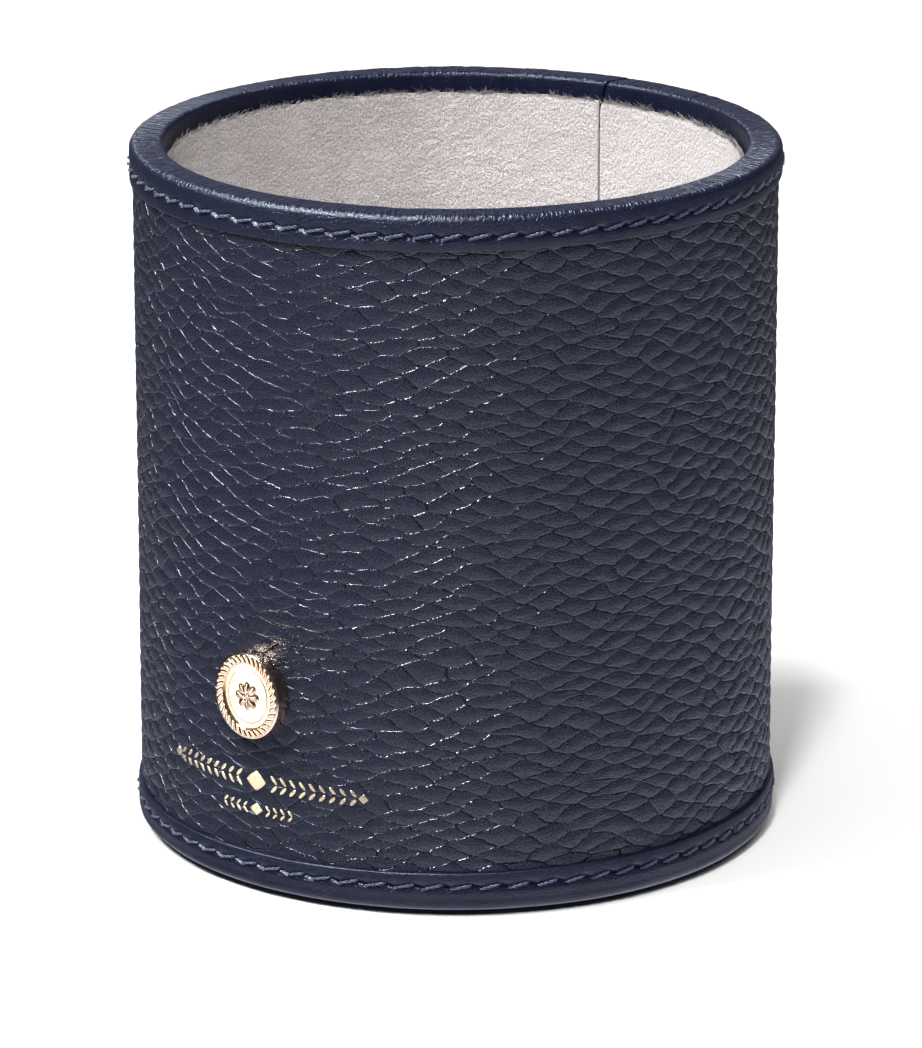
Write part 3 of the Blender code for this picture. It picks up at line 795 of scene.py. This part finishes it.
def stitch_row(name, count, line, binding, stitches, material, scale=1.0):
    """A row of stitches: each is two plies that wind round a line which climbs, bulges and dives at both ends."""
    circle = 2 * math.pi * RIM_OUTER
    pitch = circle / count
    length, rise = stitches.length / MM, stitches.rise / MM
    ply = stitches.ply / MM * scale
    rings, sides, turns = 15, 6, 1.6
    stitch = np.arange(count)[:, None, None, None]
    side = np.arange(2)[None, :, None, None]
    t = np.linspace(-0.1, 1.1, rings)[None, None, :, None]
    around = (2 * math.pi * np.arange(sides) / sides)[None, None, None, :]
    wander = np.random.RandomState(7 + count).uniform(-1, 1, (3, count))[:, :, None, None, None]
    start = (stitch + 0.5) * pitch - length / 2 + 0.06 * wander[0]
    x = start + t * length
    bow = 1 - (2 * t - 1) ** 2
    y = (t - 0.5) * rise * (1 + 0.15 * wander[1]) + 0.05 * bow
    out = 0.17 * ply / 0.3 * (1 - np.abs(2 * t - 1) ** 5) - 0.5 * np.maximum(np.abs(2 * t - 1) - 0.96, 0) - 0.02
    twist = 2 * math.pi * (turns * t + 0.5 * side + 0.2 * wander[2])
    swell = 0.72 + 0.28 * np.clip(4 * bow, 0, 1)
    y = y + 0.42 * ply * swell * np.cos(twist)
    out = out + 0.36 * ply * swell * np.sin(twist)
    radius = 0.56 * ply * swell
    y = y + radius * np.cos(around)
    out = out + radius * np.sin(around)
    x, y, out = np.broadcast_arrays(x, y, out)
    angle = binding.seam_angle + x / RIM_OUTER
    points = turned(angle, RIM_OUTER + out, line + edge_climb(angle, binding) * 0.6 + y)
    measures = np.broadcast_arrays(x - start, np.arange(sides) / sides)
    return strands(name, points.reshape(count * 2, rings, sides, 3), np.stack(measures, -1).reshape(-1, 2),
                   material, turned_out=False)


class POT_OT_stitching(bpy.types.Operator):
    """Sews both rows of twisted thread"""
    bl_idname = "pot.stitching"
    bl_label = "Stitching"

    def execute(self, context):
        settings = context.scene.pot
        binding, stitches = settings.binding, settings.stitches
        material = thread(stitches.color)
        rim_line = HEIGHT - binding.rim_depth / MM + stitches.rim_inset / MM
        base_line = BASE_EDGE - stitches.base_inset / MM
        rim = stitch_row("rim_stitches", stitches.rim_count, rim_line, binding, stitches, material)
        base = stitch_row("base_stitches", stitches.base_count, base_line, binding, stitches, material, 0.95)
        place(rim, "thread", "top_stitching")
        place(base, "thread", "bottom_stitching")
        return {"FINISHED"}


# ---------------------------------------------------------------- suede

class POT_OT_wall_suede(bpy.types.Operator):
    """Lines the wall with suede, with its butt seam at the back"""
    bl_idname = "pot.wall_suede"
    bl_label = "Wall suede"

    def execute(self, context):
        settings = context.scene.pot
        section = path(
            (LINING_OUTER, LINING_BOTTOM),
            ((LINING_OUTER, LINING_TOP - 0.2), 3),
            ((LINING_OUTER - 0.2, LINING_TOP), 3),
            ((LINING_INNER + 0.2, LINING_TOP), 3),
            corner((LINING_INNER + 0.2, LINING_TOP - 0.2), 0.2, 90, 180, 4),
            ((LINING_INNER, LINING_TOP - 25), 70),
            ((LINING_INNER, LINING_BOTTOM), 40),
            ((LINING_OUTER, LINING_BOTTOM), 2),
        )
        z = section[None, :, 1]
        share = np.linspace(0, 1, 760)[:, None]
        # The seam is tight, and its two ends part a little at the very top.
        opening = (0.34 + 0.6 * np.clip((z - LINING_TOP + 1.4) / 1.4, 0, 1) ** 2) / LINING_INNER
        seam = settings.binding.seam_angle
        angles = seam - 0.0015 + opening / 2 + share * (2 * math.pi - opening)
        reach = LINING_INNER * (angles - seam)
        nap = sum(size * ripple(reach, z, width, height, seed) for size, width, height, seed in (
            (0.05, 1.1, 0.9, 41), (0.035, 0.5, 0.5, 42), (0.12, 14, 11, 43)))
        uneven = sum(size * ripple(reach, 0 * z, width, 1, seed) for size, width, seed in (
            (0.1, 1.3, 44), (0.06, 0.5, 45), (0.15, 9, 46)))
        inside = section[None, :, 0] < LINING_INNER + 0.3
        radius = section[None, :, 0] - inside * nap
        height = z + uneven * np.clip((z - LINING_TOP + 1) / 1, 0, 1)
        points = turned(angles, radius, height)
        piece = skin("wall_suede", points, reach, z, suede("pale_suede", settings.lining.color, 0.0, LINING_TOP),
                     closed=(False, True), capped=True)
        place(piece, "suede", "wall_lining")
        return {"FINISHED"}


def fibre_mesh(name, roots, directions, bends, lengths, width, material):
    """Loose fibres: each is a three-sided taper along a line that starts at its root and bends as it goes."""
    rings, sides = 4, 3
    t = np.linspace(0, 1, rings)[None, :, None]
    line = roots[:, None] + lengths[:, None, None] * (directions[:, None] * t + bends[:, None] * t ** 2)
    side = np.cross(directions, (0.3, 0.2, 0.9))
    side /= np.linalg.norm(side, axis=1)[:, None]
    other = np.cross(directions, side)
    around = 2 * math.pi * np.arange(sides) / sides
    ring = side[:, None] * np.cos(around)[None, :, None] + other[:, None] * np.sin(around)[None, :, None]
    taper = width * (1 - 0.8 * np.linspace(0, 1, rings))
    points = line[:, :, None] + ring[:, None] * taper[None, :, None, None]
    piece = strands(name, points, None, material)
    piece.data.shade_flat()
    return piece


class POT_OT_fibres(bpy.types.Operator):
    """Lets loose fibres stand up along the suede's cut edge"""
    bl_idname = "pot.fibres"
    bl_label = "Suede edge fibres"

    def execute(self, context):
        settings = context.scene.pot
        lining = settings.lining
        rng = np.random.RandomState(90)
        count = lining.fibres
        tufts = rng.uniform(0, 2 * math.pi, count // 5)
        angle = tufts[rng.randint(0, len(tufts), count)] + rng.normal(0, 0.006, count)
        radius = rng.uniform(LINING_INNER + 0.05, LINING_OUTER - 0.15, count)
        outward = turned(angle, 1.0, 0.0)
        sideways = turned(angle + math.pi / 2, 1.0, 0.0)
        roots = turned(angle, radius, LINING_TOP - 0.15 + rng.uniform(-0.1, 0.08, count))
        directions = np.array([0, 0, 1.0]) + 0.45 * rng.normal(0, 1, (count, 1)) * sideways
        directions = directions + rng.uniform(-0.5, 0.05, (count, 1)) * outward
        directions /= np.linalg.norm(directions, axis=1)[:, None]
        bends = rng.normal(0, 0.35, (count, 1)) * sideways + rng.uniform(-0.3, 0.0, (count, 1)) * outward
        bends = bends - np.array([0, 0, 0.15])
        lengths = lining.fibre_length / MM * np.clip(rng.lognormal(-0.1, 0.45, count), 0.3, 2.4)
        piece = fibre_mesh("suede_edge_fibres", roots, directions, bends, lengths, 0.045,
                           suede("suede_fibre", lining.color, 3.0))
        place(piece, "suede")
        return {"FINISHED"}


class POT_OT_floor_suede(bpy.types.Operator):
    """Covers the inside floor with a suede disc, and the underside with a dark suede pad"""
    bl_idname = "pot.floor_suede"
    bl_label = "Floor suede and base pad"

    def execute(self, context):
        settings = context.scene.pot
        _, floor_radius, floor_low, floor_high = extent("floor_lining")
        _, pad_radius, pad_low, pad_high = extent("base_cover")
        pale = suede("floor_suede", settings.lining.color, 20.0)
        dark = suede("dark_pad_suede", "20222E", 50.0)
        piece = suede_disc("floor_suede", floor_radius, floor_low, floor_high, 0.1, pale, 51)
        place(piece, "suede", "floor_lining")
        piece = suede_disc("base_pad", pad_radius, pad_low, pad_high, 0.0, dark, 52)
        place(piece, "base_suede", "base_cover")
        return {"FINISHED"}


def suede_disc(name, radius, low, high, nap, material, seed):
    """A disc with a soft edge: its section runs from the middle of the underside, round the edge, to the middle
    of the top, and the top carries the nap's relief."""
    soft = 0.4 * (high - low)
    section = path(
        (0.0, low),
        ((radius - soft, low), 30),
        corner((radius - soft, low + soft), soft, -90, 0, 4),
        corner((radius - soft, high - soft), soft, 0, 90, 4),
        ((0.0, high), 60),
    )
    angles = np.linspace(0, 2 * math.pi, 241)[:-1, None]
    r = section[None, :, 0]
    x, y = r * np.cos(angles), r * np.sin(angles)
    relief = nap * (ripple(x + 90, y + 90, 1.1, 1.1, seed) - 1) * (section[None, :, 1] > (low + high) / 2)
    relief = relief * np.clip(r / 2, 0, 1)
    points = turned(angles, r, section[None, :, 1] + relief)
    return skin(name, points, x, y, material, closed=(True, False), merged=True)


# ---------------------------------------------------------------- plaque and foil

class POT_OT_plaque(bpy.types.Operator):
    """Casts the oval plaque: polished field, twisted rope border, rosette in the middle"""
    bl_idname = "pot.plaque"
    bl_label = "Plaque"

    def execute(self, context):
        metal = context.scene.pot.metal
        border = metal.border / MM
        half = (BADGE_HIGH[0] - BADGE_LOW[0]) / 2, (BADGE_HIGH[2] - BADGE_LOW[2]) / 2
        front = -BADGE_LOW[1]
        step = 0.3
        field = step + border + 0.12
        # Each row of the cast surface: how far in from the outline, and how far behind the front.
        rows = path(
            (min(half), 2.35),
            ((0.1, 2.35), 4),
            ((0.0, 2.2), 2),
            ((0.0, step), 6),
            corner((step, step), step, 180, 270, 6),
            ((step + border, 0.0), 15),
            ((field, 0.34), 4),
            ((min(half), 0.2), 46),
        )
        turn = np.linspace(0, 2 * math.pi, 409)[:-1, None]
        inset, behind = rows[None, :, 0], rows[None, :, 1]
        # The border keeps its width all round, and the field and the back shrink to the middle in proportion.
        share = (1 - inset / min(half)) / (1 - field / min(half))
        across, up = (np.where(inset <= field + 1e-6, a - inset, share * (a - field)) for a in half)
        x, z = across * np.cos(turn), up * np.sin(turn)
        across = np.clip((inset - step) / border * 2 - 1, -1, 1)
        on_border = (inset >= step - 1e-6) & (inset <= step + border + 1e-6) & (behind < 0.2)
        rope = np.sqrt(np.clip(1 - across ** 2, 0, 1)) * (0.5 + 0.5 * np.cos(metal.twists * turn + 2.4 * across))
        reach = np.hypot(x, z)
        petals = 1.5 + 0.55 * np.abs(np.cos(4 * turn))
        rosette = np.clip(1 - (reach / petals) ** 2, 0, 1) ** 0.6
        rosette = rosette * (0.75 + 0.25 * np.cos(8 * turn) * np.clip(reach, 0, 1))
        rosette = rosette - 0.6 * np.exp(-((reach - 0.5) / 0.14) ** 2)
        groove = -0.07 * np.exp(-((inset - field - 0.55) / 0.1) ** 2)
        inside = (inset > field) & (behind < 0.5)
        raised = 0.16 * rope * on_border + inside * (0.28 * rosette * (reach < 2.2) + groove)
        y = -(front - 0.16 - behind + raised)
        points = np.stack([x, y, BADGE_CENTRE + z], -1)
        piece = skin("plaque", points, turn * 5.9, inset, gold_plate(metal.gold_color), closed=(True, False),
                     merged=True)
        place(piece, "gold_plate", "badge")
        return {"FINISHED"}


def motif(centre, outline, lean=0.0):
    """A stamped shape: rings of its outline, as (across, up) for each direction, shrunk to its middle, leaned."""
    turn = np.linspace(0, 2 * math.pi, 25)[:-1, None]
    reach = np.array([0.0, 0.35, 0.7, 0.92, 1.0, 1.0, 0.0])[None, :]
    lift = np.array([0.03, 0.03, 0.03, 0.025, 0.0, -0.1, -0.1])[None, :]
    x, y = outline(turn)
    x, y = x * reach, y * reach
    x, y = x + lean * y, y
    return np.stack(np.broadcast_arrays(centre[0] + x, centre[1] + y, lift), -1)


def lozenge(width, height):
    """Outline of a lozenge with softly bowed sides: cosine and sine, each sharpened by a power."""
    def outline(turn):
        c, s = np.cos(turn), np.sin(turn)
        return width / 2 * np.sign(c) * np.abs(c) ** 1.7, height / 2 * np.sign(s) * np.abs(s) ** 1.7
    return outline


def leaf(width, height):
    """Outline of an upright leaf: a thin oval."""
    return lambda turn: (width / 2 * np.cos(turn), height / 2 * np.sin(turn))


def spray(side, height, count, start, pitch, spread, width, length, taper):
    """Pairs of leaves above and below a line that runs out from the middle, each pair shorter by taper."""
    return [
        motif((side * (start + pitch * k), height + spread * lift), leaf(width, length - taper * k),
              -0.75 * side * lift)
        for k in range(count) for lift in (-1, 1)
    ]


class POT_OT_foil(bpy.types.Operator):
    """Stamps two rows of gold ornament under the plaque"""
    bl_idname = "pot.foil"
    bl_label = "Foil ornament"

    def execute(self, context):
        settings = context.scene.pot
        upper, lower = 16.6, 12.4
        shapes = [motif((0.0, upper), lozenge(3.4, 2.9)), motif((0.0, lower), lozenge(2.2, 1.7))]
        for side in (-1, 1):
            shapes += spray(side, upper, 9, 3.1, 1.55, 0.66, 0.62, 1.15, 0.03)
            shapes.append(motif((side * 17.0, upper), lozenge(1.4, 1.3)))
            shapes += spray(side, lower, 4, 2.0, 1.25, 0.42, 0.45, 0.75, 0.0)
        material = gold_foil(settings.metal.foil_color, settings.leather)
        pieces = []
        for shape in shapes:
            across, up, lift = np.moveaxis(shape[::-1, ::-1], -1, 0)
            points = turned(-math.pi / 2 + across / WRAP_OUTER, WRAP_OUTER - 0.02 + lift, up)
            pieces.append(skin("foil", points, across, up, material, closed=(True, False), merged=True))
        with context.temp_override(active_object=pieces[0], selected_editable_objects=pieces):
            bpy.ops.object.join()
        pieces[0].name = "foil_ornament"
        place(pieces[0], "gold_plate")
        return {"FINISHED"}


class POT_OT_boards(bpy.types.Operator):
    """Gives the hidden boards and the backing plate their finishes"""
    bl_idname = "pot.boards"
    bl_label = "Boards and backing"

    def execute(self, context):
        board, steel = grey_board(), sheet_steel()
        for node in ("core_tube", "base_board", "infill_card", "floor_card", "base_infill"):
            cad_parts[node].material_slots[0].material = board
        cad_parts["badge_backing"].material_slots[0].material = steel
        return {"FINISHED"}


# ---------------------------------------------------------------- stage

def area_light(name, view, facts, target):
    """A rectangular soft light that faces its target; view is the camera's azimuth in degrees."""
    azimuth, elevation, distance, size, power = facts
    light = bpy.data.lights.new(name, "AREA")
    light.shape = "RECTANGLE"
    light.size, light.size_y = size
    light.energy = power
    lamp = bpy.data.objects.new(name, light)
    lamp.visible_camera = False
    aim(lamp, target, distance, from_front(math.radians(view + azimuth), math.radians(elevation)))
    return lamp


def surround(azimuth):
    """What the leather mirrors: the bright table below, dimmed by a dark flag on the left, and a pale band low at
    the back, both a little cool.

    It lights no matt surface. Each part is a smooth step of the direction looked in, turned so that -Y faces
    the camera.
    """
    world = bpy.data.worlds.new("studio")
    world.use_nodes = True
    world.cycles_visibility.diffuse = False
    tree = world.node_tree
    way = add(tree, "ShaderNodeTexCoord").outputs["Generated"]
    way = add(tree, "ShaderNodeVectorRotate", {"Vector": way, "Angle": -azimuth}, rotation_type="Z_AXIS")
    parts = add(tree, "ShaderNodeSeparateXYZ", {0: way}).outputs
    table = add(tree, "ShaderNodeMapRange", {0: parts["Z"], 1: -0.78, 2: -0.2, 3: 2.15, 4: 0.08},
                interpolation_type="SMOOTHSTEP")
    flag = add(tree, "ShaderNodeMapRange", {0: parts["X"], 1: -0.9, 2: -0.2, 3: 0.3, 4: 1.0})
    table = add(tree, "ShaderNodeMath", {0: table, 1: flag}, operation="MULTIPLY")
    # The band's middle is 5 degrees above the horizon.
    back = add(tree, "ShaderNodeVectorMath", {0: way, 1: (0.0, 0.996, 0.087)}, operation="DOT_PRODUCT")
    back = back.outputs["Value"]
    back = add(tree, "ShaderNodeMapRange", {0: back, 1: 0.93, 2: 0.99, 3: 0.0, 4: 0.34},
               interpolation_type="SMOOTHSTEP")
    total = add(tree, "ShaderNodeMath", {0: table, 1: back}, operation="ADD")
    wire(tree, tree.nodes["Background"], {"Strength": total, "Color": (0.9, 0.93, 1.16, 1.0)})
    return world


# Each lamp: azimuth from the camera's and elevation in degrees, distance and size in metres, power in watts.
LAMPS = {
    "overhead_softbox": (-8, 59, 1.1, (0.09, 0.45), 11.0),
    "ceiling_bounce": (0, 86, 2.5, (4.0, 4.0), 104.0),
    "left_wash": (-74, 54, 1.0, (0.3, 0.3), 14.0),
    "left_strip": (-67, 56, 1.0, (0.12, 0.55), 48.0),
}
PLAQUE_CARD = (-75, -13, 0.12, (0.09, 0.09), 0.07)   # a small card that only the plaque and the foil mirror
STRIP_COLOR = (0.8, 0.89, 1.0)                       # cool, as daylight from a window is
GILT_PIECES = ("plaque", "foil_ornament")


def from_front(azimuth, elevation):
    """Unit vector towards a point round the pot from its front and above the table, both in radians."""
    flat = math.cos(elevation)
    return Vector((math.sin(azimuth) * flat, -math.cos(azimuth) * flat, math.sin(elevation)))


def aim(thing, target, distance, back):
    """Puts a lamp or a camera at a distance from its target along back, and turns it to look at the target."""
    thing.location = target + distance * back
    thing.rotation_mode = "QUATERNION"
    thing.rotation_quaternion = (-back).to_track_quat("-Z", "Y")
    bpy.context.scene.collection.objects.link(thing)


class POT_OT_stage(bpy.types.Operator):
    """Sets the table, the soft lights and the camera"""
    bl_idname = "pot.stage"
    bl_label = "Stage"

    def execute(self, context):
        scene = context.scene
        stage = scene.pot.stage
        middle = Vector((0, 0, HEIGHT / 2 * MM))
        side = np.linspace(-4000, 4000, 9)
        points = np.stack(np.broadcast_arrays(side[:, None], side[None, :], 0.0), -1)
        table = skin("table", points, side[:, None], side[None, :], table_white())
        table.visible_glossy = False

        view = math.degrees(stage.azimuth)
        for name, facts in LAMPS.items():
            lamp = area_light(name, view, facts, middle)
            lamp.visible_glossy = name == "left_strip"
        # The strip draws the glints on the creases, and the other three light what is matt.
        lamp.data.color = STRIP_COLOR
        lamp.visible_diffuse = False
        card = area_light("plaque_card", view, PLAQUE_CARD, Vector((0, BADGE_LOW[1], BADGE_CENTRE)) * MM)
        gilt = bpy.data.collections.new("gilt")
        for name in GILT_PIECES:
            gilt.objects.link(bpy.data.objects[name])
        card.light_linking.receiver_collection = gilt
        scene.world = surround(stage.azimuth)

        camera = bpy.data.cameras.new("camera")
        camera.lens = stage.lens
        camera.sensor_width = 36.0
        camera.shift_x = stage.slide
        camera.shift_y = stage.rise
        camera.clip_start = 0.01
        viewer = bpy.data.objects.new("camera", camera)
        aim(viewer, Vector((0, 0, stage.target)), stage.distance, from_front(stage.azimuth, stage.elevation))
        scene.camera = viewer
        scene.view_settings.view_transform = "Standard"
        return {"FINISHED"}


class PotSettings(bpy.types.PropertyGroup):
    leather: bpy.props.PointerProperty(type=PotLeather)
    binding: bpy.props.PointerProperty(type=PotBinding)
    stitches: bpy.props.PointerProperty(type=PotStitches)
    lining: bpy.props.PointerProperty(type=PotLining)
    metal: bpy.props.PointerProperty(type=PotMetal)
    stage: bpy.props.PointerProperty(type=PotStage)


OPERATORS = (
    POT_OT_wrap, POT_OT_rim_binding, POT_OT_base_binding, POT_OT_stitching, POT_OT_wall_suede, POT_OT_fibres,
    POT_OT_floor_suede, POT_OT_plaque, POT_OT_foil, POT_OT_boards, POT_OT_stage,
)
GROUPS = (PotLeather, PotBinding, PotStitches, PotLining, PotMetal, PotStage, PotSettings)


class POT_PT_panel(bpy.types.Panel):
    """Lists the pot's settings and the steps that build it"""
    bl_label = "Leather Pen Pot"
    bl_idname = "POT_PT_panel"
    bl_space_type = "VIEW_3D"
    bl_region_type = "UI"
    bl_category = "Pen Pot"

    def draw(self, context):
        settings = context.scene.pot
        for name in ("leather", "binding", "stitches", "lining", "metal", "stage"):
            box = self.layout.box()
            box.label(text=name.capitalize())
            group = getattr(settings, name)
            for key in group.bl_rna.properties.keys():
                if key not in ("rna_type", "name"):
                    box.prop(group, key)
        for operator in OPERATORS:
            self.layout.operator(operator.bl_idname)


def register():
    for part in (*GROUPS, *OPERATORS, POT_PT_panel):
        bpy.utils.register_class(part)
    bpy.types.Scene.pot = bpy.props.PointerProperty(type=PotSettings)


def unregister():
    del bpy.types.Scene.pot
    for part in reversed((*GROUPS, *OPERATORS, POT_PT_panel)):
        bpy.utils.unregister_class(part)


def main():
    register()
    bpy.ops.pot.wrap()
    bpy.ops.pot.rim_binding()
    bpy.ops.pot.base_binding()
    bpy.ops.pot.stitching()
    bpy.ops.pot.wall_suede()
    bpy.ops.pot.fibres()
    bpy.ops.pot.floor_suede()
    bpy.ops.pot.plaque()
    bpy.ops.pot.foil()
    bpy.ops.pot.boards()
    bpy.ops.pot.stage()


if __name__ == "__main__":
    main()
